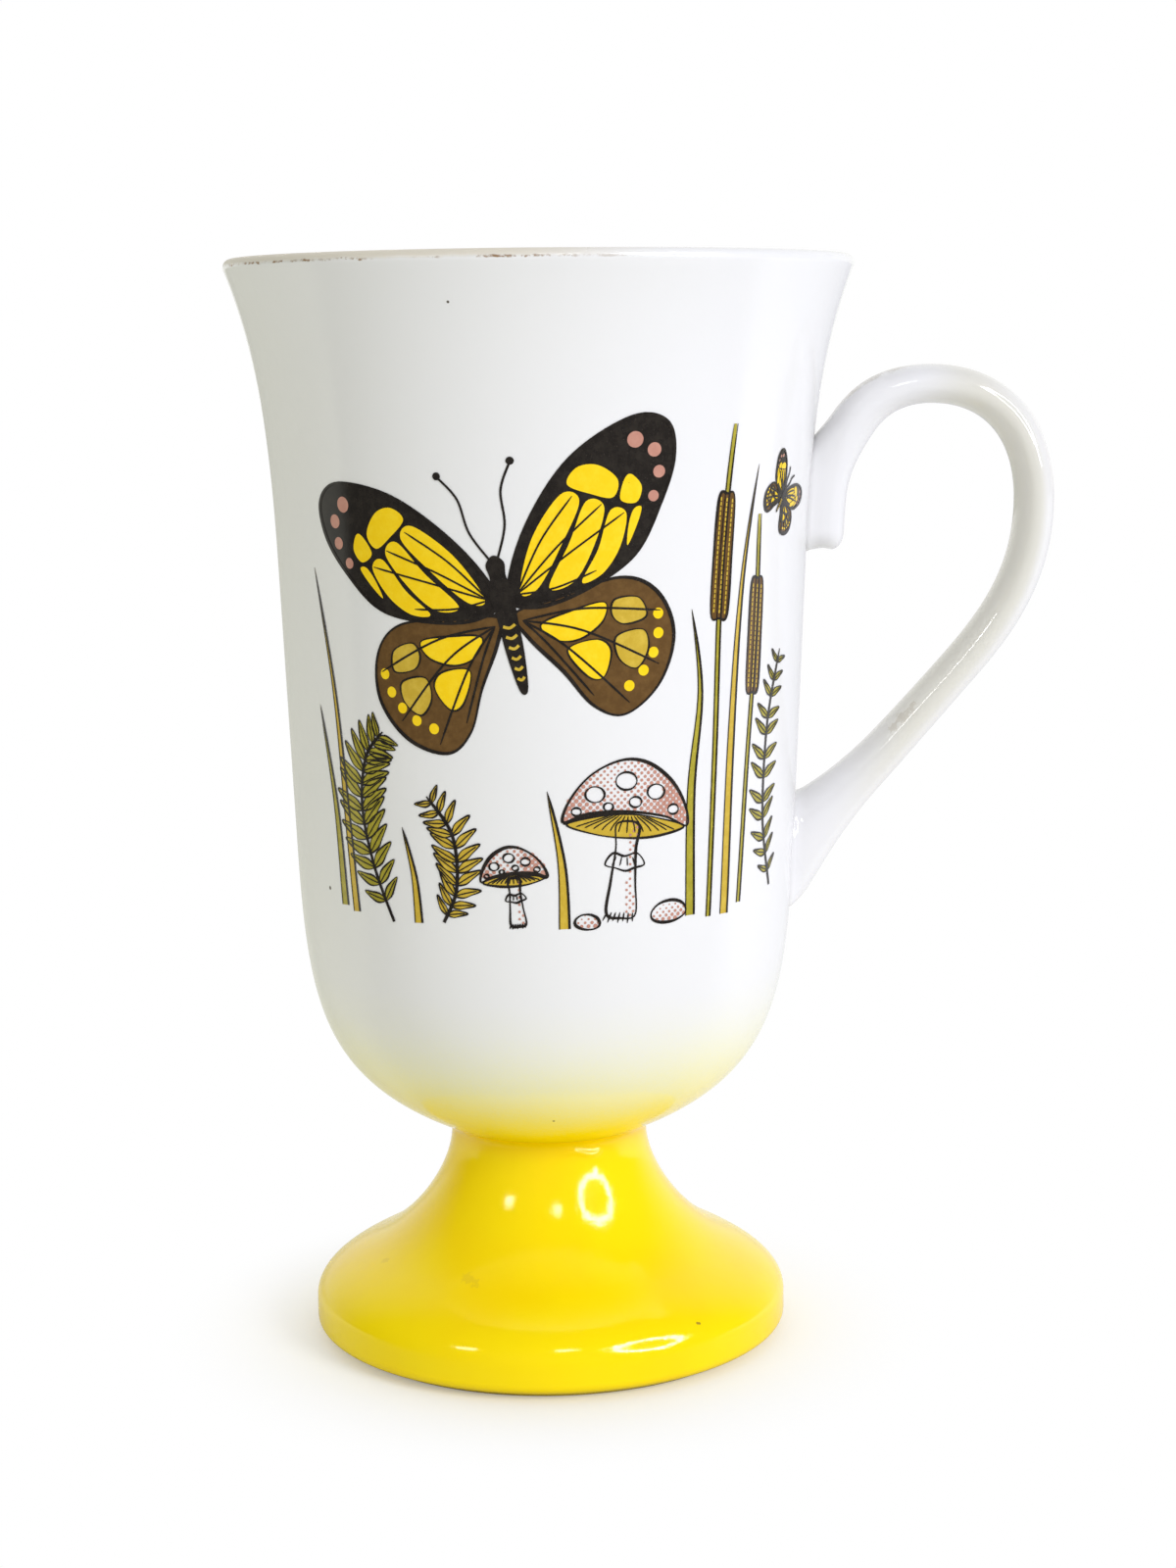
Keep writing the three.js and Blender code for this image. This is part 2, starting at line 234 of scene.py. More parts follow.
# Handle: the same centre line, section and flared roots as the solid one, with finer facets
HEEL_DROP, TAIL_STANDOFF, TAIL_RUN, TAIL_LENGTH, BEND_LENGTH = 35.1, 2.4, 14.3, 7.2, 15.6
CROWN_DROP, CROWN_OUT, CROWN_IN_RUN, CROWN_OUT_RUN = 15.4, 15.0, 8.6, 8.2
REACH_DROP, REACH_OUT, REACH_RUN = 29.4, 27.78, 8.3
ARM_SHARE, ARM_OUT, ARM_ANGLE, ARM_RUN = 0.53, 19.1, 49.0, 8.0
ROOT_RISE, ROOT_ANGLE, ROOT_RUN, ROOT_DEPTH = 34.1, 45.0, 9.0, 3.0
TAIL_BACKING, TAIL_THICKNESS, TAIL_WIDTH, BEND_THICKNESS = 4.3, 4.4, 8.8, 6.0
ARM_THICKNESS, ARM_WIDTH, ROOT_THICKNESS, ROOT_WIDTH = 4.7, 8.2, 5.6, 8.8
HEEL_ROUND, HEEL_SQUARENESS = 2.5, 2.4
UPPER_FLARE = {"reach": 3.5, "up": 1.5, "down": 1.5, "across": 0.8}
LOWER_FLARE = {"reach": 10.0, "up": 3.6, "down": 7.5, "across": 1.0}
PAD_DROP, PAD_SLOPE, PAD_ROUND, PAD_FADE = 7.1, 0.57, 1.2, 0.6
TOE, TOE_START, TOE_STOP = 0.4, 1.2, 4.0  # the heel's underside drops at its tip
HEEL_FILLET, HEEL_FILLET_REACH = 0.8, 1.6  # and it drops at the wall
JOINT_FILLET, JOINT_FILLET_REACH = 0.5, 1.3  # glaze pooled round both joints with the wall
ROUNDNESS = 2.15  # 2 is an oval section; more fills out its corners
PATH_STEPS, HANDLE_RINGS, HANDLE_SIDES = 300, 190, 56


def smoothstep(x, low, high):
    t = np.clip((x - low) / (high - low), 0, 1)
    return t * t * (3 - 2 * t)


def blend(a, b, share):
    return a + (b - a) * share


def handle_path():
    """The centre line, its length so far, the length at the end of each stretch, and two heights."""
    heel_z = MUG_HEIGHT - HEEL_DROP
    wall = float(wall_radius(heel_z))
    reach_z = MUG_HEIGHT - REACH_DROP
    root_z = SEAT_HEIGHT + ROOT_RISE
    arm_z = root_z + (reach_z - root_z) * ARM_SHARE
    heel = (wall + TAIL_STANDOFF, heel_z)
    crown = (wall + CROWN_OUT, MUG_HEIGHT - CROWN_DROP)
    reach = (wall + REACH_OUT, reach_z)
    arm = (wall + ARM_OUT, arm_z)
    root = (float(wall_radius(root_z)), root_z)
    end = along(root, ROOT_ANGLE, -ROOT_DEPTH)
    path = chain(
        bend(heel, 90, TAIL_RUN, crown, 0, -CROWN_IN_RUN, PATH_STEPS),
        bend(crown, 0, CROWN_OUT_RUN, reach, 90, REACH_RUN, PATH_STEPS),
        bend(reach, 90, -REACH_RUN, arm, ARM_ANGLE, ARM_RUN, PATH_STEPS),
        bezier(arm, along(arm, ARM_ANGLE, -ARM_RUN), along(root, ROOT_ANGLE, ROOT_RUN), end, PATH_STEPS),
    )
    steps = np.hypot(*np.diff(path, axis=0).T)
    length = np.r_[0, np.cumsum(steps)]
    return path, length, length[PATH_STEPS::PATH_STEPS], arm_z, root_z


def fit_to_wall(p, out, heel_share, arm_z, root_z):
    """Flares a point of the handle's section where it comes near the wall."""
    radial = np.array((p[0], p[1], 0)) / math.hypot(p[0], p[1])
    flare = UPPER_FLARE if p[2] > arm_z else LOWER_FLARE
    height = max(0.0, math.hypot(p[0], p[1]) - float(wall_radius(p[2])))
    amount = max(0.0, 1 - height / flare["reach"]) ** 2
    spread = out - radial * out.dot(radial)
    upright = flare["up" if spread[2] > 0 else "down"]
    p += spread * (flare["across"], flare["across"], upright) * amount
    p += spread * JOINT_FILLET * max(0.0, 1 - height / JOINT_FILLET_REACH) ** 2
    if heel_share < 1:
        toe = TOE * smoothstep(height, TOE_START, TOE_STOP)
        fillet = HEEL_FILLET * max(0, 1 - height / HEEL_FILLET_REACH) ** 2
        p[2] -= (1 - heel_share) * (toe + fillet)
    if flare is LOWER_FLARE:
        pad_end = root_z - PAD_DROP + PAD_SLOPE * height
        lift = (pad_end - p[2] + math.hypot(p[2] - pad_end, PAD_ROUND)) / 2
        p[2] += lift * (1 - smoothstep(height, PAD_FADE * flare["reach"], flare["reach"]))
    return p


def make_handle():
    path, length, (crown_end, reach_end, arm_end, root_end), arm_z, root_z = handle_path()
    rings, sides = HANDLE_RINGS, HANDLE_SIDES
    share = np.linspace(0, 1, rings + 1)
    where = (share - np.sin(2 * math.pi * share) / (3 * math.pi)) * root_end
    cx, cz = np.interp(where, length, path[:, 0]), np.interp(where, length, path[:, 1])
    tangents = np.gradient(path, length, axis=0)
    tx, tz = np.interp(where, length, tangents[:, 0]), np.interp(where, length, tangents[:, 1])
    norm = np.hypot(tx, tz)
    away_x, away_z = tz / norm, -tx / norm
    throat = blend(TAIL_THICKNESS, BEND_THICKNESS, smoothstep(where, TAIL_LENGTH, BEND_LENGTH))
    front = blend(throat, ARM_THICKNESS, smoothstep(where, BEND_LENGTH, crown_end)) / 2
    back = blend(TAIL_BACKING, ARM_THICKNESS / 2, smoothstep(where, TAIL_LENGTH, BEND_LENGTH))
    side = blend(TAIL_WIDTH, ARM_WIDTH, smoothstep(where, TAIL_LENGTH, reach_end)) / 2
    growth = smoothstep(where, arm_end, root_end)
    grow_thick = growth * (ROOT_THICKNESS - ARM_THICKNESS) / 2
    grow_wide = growth * (ROOT_WIDTH - ARM_WIDTH) / 2
    heel = np.minimum(1, where / HEEL_ROUND)
    rounding = (1 - (1 - heel) ** HEEL_SQUARENESS) ** (1 / HEEL_SQUARENESS)
    points = []
    for k in range(1, rings + 1):
        for s in range(sides):
            angle = 2 * math.pi * s / sides
            c, d = math.cos(angle), math.sin(angle)
            out = np.array((away_x[k] * c, d, away_z[k] * c))
            c, d = (math.copysign(abs(v) ** (2 / ROUNDNESS), v) for v in (c, d))
            depth = rounding[k] * ((front[k] if c > 0 else back[k]) + grow_thick[k])
            half = rounding[k] * (side[k] + grow_wide[k])
            p = np.array((cx[k] + away_x[k] * depth * c, half * d, cz[k] + away_z[k] * depth * c))
            points.append(fit_to_wall(p, out, heel[k], arm_z, root_z))
    faces = []
    for k in range(rings - 1):
        for s in range(sides):
            after = (s + 1) % sides
            a, b = k * sides, (k + 1) * sides
            faces.append((b + s, a + s, a + after, b + after))
    tip = len(points)
    points.append((cx[0], 0, cz[0]))
    tail = len(points)
    points.append((cx[-1], 0, cz[-1]))
    last = (rings - 1) * sides
    for s in range(sides):
        after = (s + 1) % sides
        faces.append((tip, after, s))
        faces.append((tail, last + s, last + after))
    return mesh_object("handle_glazed", points, faces)


# Printed panel, in millimetres: u runs round the wall to the right from the front, v is the height
PRINT_RADIUS = 31.6
FILL, SECOND, DOTS, LINES = 0.03, 0.045, 0.06, 0.08  # how far each layer stands off the glaze
BODY_LIFT, BAR_LIFT = LINES + 0.02, LINES + 0.035
GRID_WIDTH, GRID_HEIGHT = 1.4, 2.0  # spacing of the points that let a filled shape follow the wall
SMALLEST_DOT = 0.05


class Ink:
    """Faces of one ink, wrapped round the wall."""

    def __init__(self):
        self.points, self.faces = [], []

    def add(self, flat, faces, lift):
        start = len(self.points)
        for u, v in flat:
            angle = -math.pi / 2 + u / PRINT_RADIUS
            r = float(wall_radius(v)) + lift
            self.points.append((r * math.cos(angle), r * math.sin(angle), v))
        self.faces += [[start + i for i in face] for face in faces]


inks = {name: Ink() for name in ("black", "yellow", "gold", "brown", "olive", "rose")}


def smooth(points, closed=False, steps=10):
    """Catmull-Rom curve through the points."""
    p = np.array(points, float)
    count = len(p)
    out = []
    for k in range(count if closed else count - 1):
        if closed:
            a, b, c, d = p[(k - 1) % count], p[k], p[(k + 1) % count], p[(k + 2) % count]
        else:
            a, b, c, d = p[max(k - 1, 0)], p[k], p[k + 1], p[min(k + 2, count - 1)]
        square, cube = 2 * a - 5 * b + 4 * c - d, 3 * b - a - 3 * c + d
        for t in np.linspace(0, 1, steps, endpoint=False):
            out.append(0.5 * (2 * b + (c - a) * t + square * t * t + cube * t ** 3))
    if not closed:
        out.append(p[-1])
    return np.array(out)


def circle(count):
    return np.array([(math.cos(a), math.sin(a)) for a in np.arange(count) * 2 * math.pi / count])


def inside(point, loop):
    x, y = point
    a, b = loop, np.roll(loop, -1, axis=0)
    cross = (a[:, 1] > y) != (b[:, 1] > y)
    with np.errstate(divide="ignore", invalid="ignore"):
        at = a[:, 0] + (y - a[:, 1]) / (b[:, 1] - a[:, 1]) * (b[:, 0] - a[:, 0])
    return bool(np.sum(cross & (x < at)) % 2)


def fill(ink, loop, lift=FILL):
    loop = np.array(loop, float)
    grid = []
    low, high = loop.min(0), loop.max(0)
    for u in np.arange(low[0] + GRID_WIDTH / 2, high[0], GRID_WIDTH):
        for v in np.arange(low[1] + GRID_HEIGHT / 2, high[1], GRID_HEIGHT):
            if inside((u, v), loop):
                grid.append((u, v))
    verts = [Vector(p) for p in loop.tolist() + grid]
    count = len(loop)
    edges = [(k, (k + 1) % count) for k in range(count)]
    flat, _, faces, _, _, _ = delaunay_2d_cdt(verts, edges, [], 1, 1e-4)
    inks[ink].add([tuple(p) for p in flat], faces, lift)


def ribbon(ink, left, right, lift):
    count = len(left)
    faces = [(k, count + k, count + k + 1, k + 1) for k in range(count - 1)]
    inks[ink].add(np.vstack([left, right]).tolist(), faces, lift)


def stroke(points, width=0.35, taper=(0.35, 0.35), ink="black", lift=LINES, closed=False):
    """A drawn line that thins towards its ends."""
    p = np.array(points, float)
    if closed:
        p = np.vstack([p, p[:1]])
    way = np.gradient(p, axis=0)
    size = np.maximum(np.hypot(way[:, 0], way[:, 1]), 1e-6)
    side = np.c_[-way[:, 1], way[:, 0]] / size[:, None]
    s = np.linspace(0, 1, len(p))
    if closed:
        w = np.full(len(p), width) * (0.85 + 0.3 * np.sin(2 * math.pi * s * 2 + points[0][0]))
    else:
        w = width * np.minimum(1, np.minimum(taper[0] + s * 5, taper[1] + (1 - s) * 5))
    ribbon(ink, p + side * w[:, None] / 2, p - side * w[:, None] / 2, lift)


def shape(ink, points, width=0.35, lift=FILL):
    """A filled shape with a drawn edge."""
    loop = smooth(points, closed=True)
    if ink:
        fill(ink, loop, lift)
    stroke(loop, width, closed=True)


def dots(loop, pitch, radius, size_at=None):
    """Round screen dots on a slanted grid inside a loop; size_at scales the dot at a place."""
    low, high = loop.min(0), loop.max(0)
    row = 0
    for v in np.arange(low[1], high[1], pitch / math.sqrt(2)):
        row += 1
        for u in np.arange(low[0] + (row % 2) * pitch / math.sqrt(2), high[0], pitch * math.sqrt(2)):
            if inside((u, v), loop):
                r = radius * (size_at(u, v) if size_at else 1)
                if r > SMALLEST_DOT:
                    inks["rose"].add(circle(8) * r + (u, v), [tuple(range(8))], DOTS)


def turn(points, centre, angle, scale=1.0, mirror=False):
    p = np.array(points, float) * scale
    if mirror:
        p[:, 0] *= -1
    a = math.radians(angle)
    return p @ np.array(((math.cos(a), math.sin(a)), (-math.sin(a), math.cos(a)))) + centre


# The butterfly's right half at scale 1, about the middle of its body
FORE_WING = [
    (0.6, 1.5), (3.5, 7.5), (9, 13.2), (15.5, 15.8), (19, 14.6),
    (19.2, 11), (17, 6.8), (13.5, 2.6), (8, 0.4), (3, -0.2),
]
HIND_WING = [
    (0.8, -0.4), (5, 0.2), (11.5, 0.8), (15, -1.5), (16, -6),
    (13.6, -10.4), (9.4, -12.6), (6.4, -11), (4.2, -7), (1.6, -3),
]
HIND_WINDOWS = [
    [(3, -2), (6, -1.3), (9.5, -1.2), (9, -3), (6.5, -4.2), (4.2, -3.8)],
    [(10.6, -1.2), (13, -1.6), (13.4, -3.6), (11, -3.8), (10, -2.6)],
    [(5, -5), (8, -4.6), (9.2, -6), (8, -8.4), (6.4, -8)],
    [(10, -4.8), (12.8, -4.8), (13, -6.8), (11.4, -8.4), (9.8, -7)],
]
FORE_PANELS = [
    [(1.8, 1.6), (4, 6.4), (7.6, 10), (9.2, 9), (6.8, 5.4), (3.6, 1.6)],
    [(4.6, 1.4), (7.4, 5.2), (9.8, 8.8), (11.4, 7.8), (9.4, 4), (7, 1.4)],
    [(7.8, 1.2), (10, 4), (11.9, 7.4), (13.4, 6.8), (12.2, 3.8), (10, 1.6)],
    [(8.4, 10.8), (10.4, 9.4), (12.4, 8.6), (13.2, 10.2), (11.6, 12), (9.6, 12.2)],
    [(13.1, 8.2), (14.6, 7.6), (15.4, 9), (14.6, 10.4), (13.8, 10)],
    [(12.9, 3.7), (14.2, 5.4), (15, 7), (14.2, 7), (13.4, 5.6)],
]
ROSE_SPOTS = [((15.6, 13.6), 0.8), ((17.3, 12.2), 0.7), ((17.4, 10), 0.62), ((16.4, 7.8), 0.55)]
FORE_VEINS = [(8.6, 9.6), (11.2, 8.2), (13.2, 6.9), (9.4, 2)]
HIND_VEINS = [(15, -3.4), (13.8, -8.6), (10, -11.6), (6.6, -10)]
FEELER = [(0.3, 5), (1.8, 8.2), (2.2, 11.6), (3.6, 14)]
FEELER_TIP, FEELER_TIP_RADIUS = (3.7, 14.2), 0.4
HALF_BODY = [(0.9, 4.8), (0.8, 3.4), (1.2, 1.6), (1.0, -0.6), (0.9, -4), (0.5, -7.6)]
HEAD, TAIL = (0, 5.6), (0, -8.4)


def butterfly(centre, angle, scale, left_fold):
    """Spread wings: yellow fore wings with a black edge, brown hind wings with pale windows."""
    for mirror in (False, True):
        fold = left_fold if mirror else 1.0

        def put(points):
            return turn(np.array(points, float) * (fold, 1.0), centre, angle, scale, mirror)

        def spot(ink, at, radius, count=8, lift=SECOND):
            fill(ink, smooth(put(np.array(at) + radius * circle(count)), True, 4), lift)

        shape("brown", put(HIND_WING), 0.42)
        for k, window in enumerate(HIND_WINDOWS):
            shape("gold" if k % 2 else "yellow", put(window), 0.22, lift=SECOND)
        for k in range(5):
            a = math.radians(-62 + k * 15)
            spot("yellow", (6.4 + 8.3 * math.cos(a), -3.4 + 7.4 * math.sin(a)), 0.55)
        shape("black", put(FORE_WING), 0.4)
        for panel in FORE_PANELS:
            fill("yellow", smooth(put(panel), True, 8), SECOND)
        for at, radius in ROSE_SPOTS:
            spot("rose", at, radius)
        for end in FORE_VEINS:
            stroke(smooth(put([(1.4, 1.4), (end[0] * 0.55, end[1] * 0.62), end]), steps=8), 0.22)
        for end in HIND_VEINS:
            stroke(smooth(put([(1.4, -1.2), (end[0] * 0.5, end[1] * 0.4), end]), steps=8), 0.25)
        stroke(smooth(put(FEELER), steps=8), 0.26, (1, 1))
        spot("black", FEELER_TIP, FEELER_TIP_RADIUS, 6, LINES)
    left_half = [(-u, v) for u, v in reversed(HALF_BODY)]
    body = turn([HEAD] + HALF_BODY + [TAIL] + left_half, centre, angle, scale)
    fill("black", smooth(body, True, 6), BODY_LIFT)
    for k in range(6):
        v = -1.4 - k * 1.05
        bar = turn([(-0.6 + 0.05 * k, v), (0, v - 0.25), (0.6 - 0.05 * k, v)], centre, angle, scale)
        stroke(smooth(bar, steps=4), 0.24 * scale + 0.05, (1, 1), "gold", BAR_LIFT)


# The toadstool at scale 1, about the foot of its stem
STEM = [(-1.7, 0), (-1.5, 4), (-1.2, 8), (-1.3, 11), (1.5, 11), (1.4, 8), (1.7, 4), (2.1, 0), (0.2, -0.5)]
STEM_SHADE = [(0.5, 0), (0.6, 5), (0.5, 10.8), (1.4, 10.8), (1.3, 5), (1.9, 0.1)]
SKIRT = [(-1.5, 7.4), (-2.4, 6), (-1, 5.6), (0.3, 5.3), (1.4, 5.7), (2.7, 6.2), (1.6, 7.5), (0, 7.1)]
GILLS = [(-7.6, 10.6), (-4, 9.6), (0, 9.3), (4, 9.6), (7.8, 10.8), (4, 11.8), (0, 12.2), (-4, 11.8)]
CAP = [
    (-8, 10.8), (-7.4, 13.6), (-5, 16.8), (-1.4, 18.7), (2, 18.5), (5.4, 16.4),
    (7.7, 13.4), (8.2, 10.9), (5, 12), (0, 12.5), (-5, 12),
]
CAP_LIGHT = (-1.5, 16.5)  # the dots are smallest here
CAP_SPOTS = [
    (-4.4, 14.4, 1.2), (-0.6, 16.2, 1.35), (3.4, 15, 1.15), (0.8, 13.7, 0.8),
    (6, 12.9, 0.75), (-6.5, 12.2, 0.6), (-2.6, 13, 0.6),
]


def toadstool(centre, scale, lean):
    """White stem, and a cap shaded with screen dots."""
    def put(points):
        return turn(points, centre, lean, scale)

    stroke(smooth(put(STEM), True, 8), 0.32, closed=True)
    dots(smooth(put(STEM_SHADE), True, 6), 0.6, 0.16)
    shape(None, put(SKIRT), 0.26)
    for k in range(4):
        x = -1.5 + k
        stroke(smooth(put([(x * 0.7, 7), (x, 5.9)]), steps=4), 0.16)
    gills = smooth(put(GILLS), True, 8)
    fill("gold", gills, FILL)
    stroke(gills, 0.28, closed=True)
    for k in range(13):
        x = -6.4 + k * 1.07
        stroke(smooth(put([(x * 0.35, 12), (x * 0.8, 10.9), (x, 9.9 + abs(x) * 0.08)]), steps=4), 0.15)
    cap = smooth(put(CAP), True, 8)
    stroke(cap, 0.4, closed=True)
    spots = []
    for x, z, radius in CAP_SPOTS:
        ring = smooth(put(circle(7) * (radius, 0.8 * radius) + (x, z)), True, 5)
        stroke(ring, 0.24, closed=True)
        spots.append(ring)
    light = put([CAP_LIGHT])[0]

    def dot_size(u, v):
        if any(inside((u, v), ring) for ring in spots):
            return 0
        return min(1.25, 0.45 + 0.115 * math.hypot(u - light[0], v - light[1]) / scale)

    dots(cap, 0.58, 0.24, dot_size)
    for k in range(7):
        x = -1.6 + k * 0.55
        stroke(smooth(put([(x, 0.2), (x - 0.5 + 0.1 * k, -0.9 - 0.2 * (k % 2))]), steps=3), 0.2)


LEAF_START, LEAF_TILT, LEAF_TILT_PLAY, LEAF_SLIMNESS = 0.12, 58, 6, 0.17
# A leaf's outline: shares of its length, and of its half width
LEAF = [(0, 0), (0.3, 1), (0.62, 0.8), (1, -0.1), (0.6, -0.6), (0.28, -0.8)]
LEAF_VEIN = [(0, 0), (0.5, 0.06), (0.85, 0)]


def frond(points, leaf, count, ink="olive"):
    """A fern: a bent rib with pairs of pointed leaves that shorten to the tip."""
    rib = smooth(points, steps=16)
    last = len(rib) - 1
    for k in range(count):
        share = LEAF_START + (1 - LEAF_START) * k / count
        at = int(share * last)
        here, way = rib[at], rib[min(at + 1, last)] - rib[max(at - 1, 0)]
        heading = math.degrees(math.atan2(way[1], way[0]))
        fullness = 0.35 + 0.65 * math.sin(math.pi * min(1, 0.25 + 0.75 * (1 - share)))
        length = leaf * fullness * (1 - 0.55 * share)
        size = (length, LEAF_SLIMNESS * length)
        for hand in (-1, 1):
            angle = heading + (LEAF_TILT + RNG.uniform(-LEAF_TILT_PLAY, LEAF_TILT_PLAY)) * hand
            loop = smooth(turn(np.array(LEAF) * size, here, angle), True, 5)
            fill(ink, loop)
            stroke(loop, 0.2, closed=True)
            stroke(smooth(turn(np.array(LEAF_VEIN) * size, here, angle), steps=4), 0.15)
    stroke(rib, 0.42, (1, 0.4))


GRAIN_PITCH = 0.55


def reed(points, head, width):
    """A bulrush: a thin stalk with a brown head between two shares of its length."""
    stalk = smooth(points, steps=14)
    stroke(stalk, 0.75, (1, 0.5), "olive", FILL)
    offset = np.array((0.3, 0))
    stroke(stalk + offset, 0.26, (1, 0.3))
    stroke(stalk - offset, 0.16, (1, 0.3))
    last = len(stalk) - 1
    a, b = (stalk[int(share * last)] for share in head)
    span = np.hypot(*(b - a))
    way = (b - a) / span
    side = np.array((-way[1], way[0])) * width / 2
    low, middle, high = a + way * 0.5, (a + b) / 2, b - way * 0.5
    left = [low + side * 0.95, middle + side * 1.05, high + side * 0.9]
    right = [high - side * 0.9, middle - side * 1.05, low - side * 0.95]
    loop = smooth([a] + left + [b] + right, True, 8)
    fill("brown", loop, SECOND)
    stroke(loop, 0.32, closed=True)
    for k in range(int(span / GRAIN_PITCH)):
        for x in (-0.5, 0, 0.5):
            at = a + way * (0.6 + k * GRAIN_PITCH + 0.2 * x) + side * 1.3 * x
            if k * GRAIN_PITCH + 1.2 < span:
                stroke(np.array([at, at + way * 0.3, at + way * 0.42]), 0.2, (1, 0.5), "gold", DOTS)


def blade(points, width, ink="olive"):
    """A leaf of grass that narrows to its tip, dark on one side."""
    middle = smooth(points, steps=12)
    way = np.gradient(middle, axis=0)
    side = np.c_[-way[:, 1], way[:, 0]] / np.hypot(way[:, 0], way[:, 1])[:, None]
    w = width * (1 - np.linspace(0, 1, len(middle)) ** 1.6)[:, None] / 2
    left, right = middle + side * w, middle - side * w
    ribbon(ink, left, right, FILL)
    stroke(right, 0.3, (1, 0.2))
    stroke(left, 0.14, (1, 0.2))


def pebble(centre, width, height, lean):
    """A round stone shaded with screen dots on its underside."""
    ring = [(x, y if y > 0 else 0.7 * y) for x, y in circle(9)]
    loop = smooth(turn(np.array(ring) * (width / 2, height / 2), centre, lean), True, 6)
    stroke(loop, 0.34, closed=True)

    def dot_size(u, v):
        return min(1.2, max(0.3, 0.75 - (v - centre[1]) / height + (u - centre[0]) / width * 0.5))

    dots(loop, 0.58, 0.25, dot_size)


def draw_panel():
    blade([(-27.4, 58), (-28.2, 70), (-30.4, 81.5)], 1.2)
    blade([(-25.2, 57.5), (-26, 68.5), (-27.2, 83.5), (-29.8, 97.5)], 1.1, "gold")
    frond([(-19, 57), (-21.8, 63.6), (-23.2, 70.2), (-22.2, 76), (-19.4, 79.2)], 7.0, 14)
    frond([(-12, 57.5), (-10.2, 61.7), (-10.6, 67.8), (-13.7, 72.1)], 5.2, 11, "gold")
    frond([(33.6, 59), (31.3, 67.4), (31.6, 78.7), (34.1, 87.2)], 5.0, 12)
    reed([(21.4, 57), (21.8, 76.8), (22, 95.7), (23.2, 113.7)], (0.6, 0.85), 2.6)
    reed([(26.6, 58), (27.4, 74), (28.3, 89), (28.3, 103.3)], (0.54, 0.81), 2.4)
    blade([(24, 57), (24.4, 77.8), (25.4, 94.8), (27.6, 109)], 1.2, "gold")
    blade([(18.6, 57.5), (18.4, 72.1), (19.4, 83.5), (18, 93)], 1.2)
    blade([(2.6, 57), (2.3, 64.6), (0.7, 73)], 1.2, "gold")
    blade([(-15.4, 57.2), (-15.8, 62.7), (-17.2, 68.3)], 1.0, "gold")
    butterfly((-3.6, 93.4), 12, 1.14, 0.97)
    toadstool((9.2, 58.5), 0.95, -5)
    toadstool((-2.9, 57.6), 0.48, 5)
    pebble((15.6, 58.1), 4.8, 3.0, 4)
    pebble((5.3, 57.6), 3.0, 2.1, -6)
    butterfly((33, 105), -38, 0.26, 0.8)


# Materials
class Nodes:
    """Small helper to lay out a material's or a world's nodes."""

    def __init__(self, tree):
        self.tree = tree
        tree.nodes.clear()

    def new(self, kind, links=(), **settings):
        node = self.tree.nodes.new(kind)
        for key, value in settings.items():
            setattr(node, key, value)
        for socket, value in dict(links).items():
            target = node.inputs[socket]
            if isinstance(value, bpy.types.NodeSocket):
                self.tree.links.new(value, target)
            else:
                target.default_value = value
        return node

    def math(self, operation, a, b=0.0, clamp=False):
        return self.new("ShaderNodeMath", {0: a, 1: b}, operation=operation, use_clamp=clamp).outputs[0]

    def times(self, a, b):
        return self.math("MULTIPLY", a, b)

    def fade(self, value, low, high):
        """0 at low and 1 at high, with a soft step between."""
        ends = {"Value": value, "From Min": low, "From Max": high}
        return self.new("ShaderNodeMapRange", ends, interpolation_type="SMOOTHSTEP").outputs["Result"]

    def mix(self, factor, a, b):
        return self.new("ShaderNodeMix", {0: factor, 6: a, 7: b}, data_type="RGBA").outputs[2]

    def noise(self, vector, scale, detail=2.0, roughness=0.5):
        settings = {"Vector": vector, "Scale": scale, "Detail": detail, "Roughness": roughness}
        return self.new("ShaderNodeTexNoise", settings).outputs["Fac"]

    def wobble(self, vector, scale, detail=2.0, roughness=0.5):
        """Noise about zero."""
        return self.math("SUBTRACT", self.noise(vector, scale, detail, roughness), 0.5)

    def xyz(self, vector):
        return self.new("ShaderNodeSeparateXYZ", {0: vector}).outputs

    def distance(self, vector, place):
        return self.new("ShaderNodeVectorMath", {0: vector, 1: place}, operation="DISTANCE").outputs["Value"]


def rgb(r, g, b):
    return (r, g, b, 1.0)


WHITE, SECOND_WHITE = rgb(0.79, 0.79, 0.785), rgb(0.805, 0.8, 0.79)
# The second handle white is the painted shade of the handle's outer bend
COOL_WHITE, HANDLE_SHADE_IVORY = rgb(0.785, 0.78, 0.785), rgb(0.7, 0.685, 0.615)
YELLOW, DEEP_YELLOW, THIN_YELLOW = rgb(0.97, 0.74, 0.0), rgb(0.93, 0.6, 0.0), rgb(0.92, 0.91, 0.0)
SPRAY_YELLOW = rgb(0.94, 0.75, 0.0)
BARE_CLAY, CLAY_GRIT = rgb(0.72, 0.66, 0.55), rgb(0.6, 0.52, 0.4)
LIP_CREAM, WORN_LINE = rgb(0.68, 0.62, 0.5), rgb(0.3, 0.19, 0.1)
SPECK, FOOT_SPECK, BROWN_MARK = rgb(0.1, 0.08, 0.06), rgb(0.4, 0.25, 0.02), rgb(0.34, 0.27, 0.16)
SMUDGE, SCUFF = rgb(0.55, 0.42, 0.05), rgb(0.5, 0.31, 0.02)

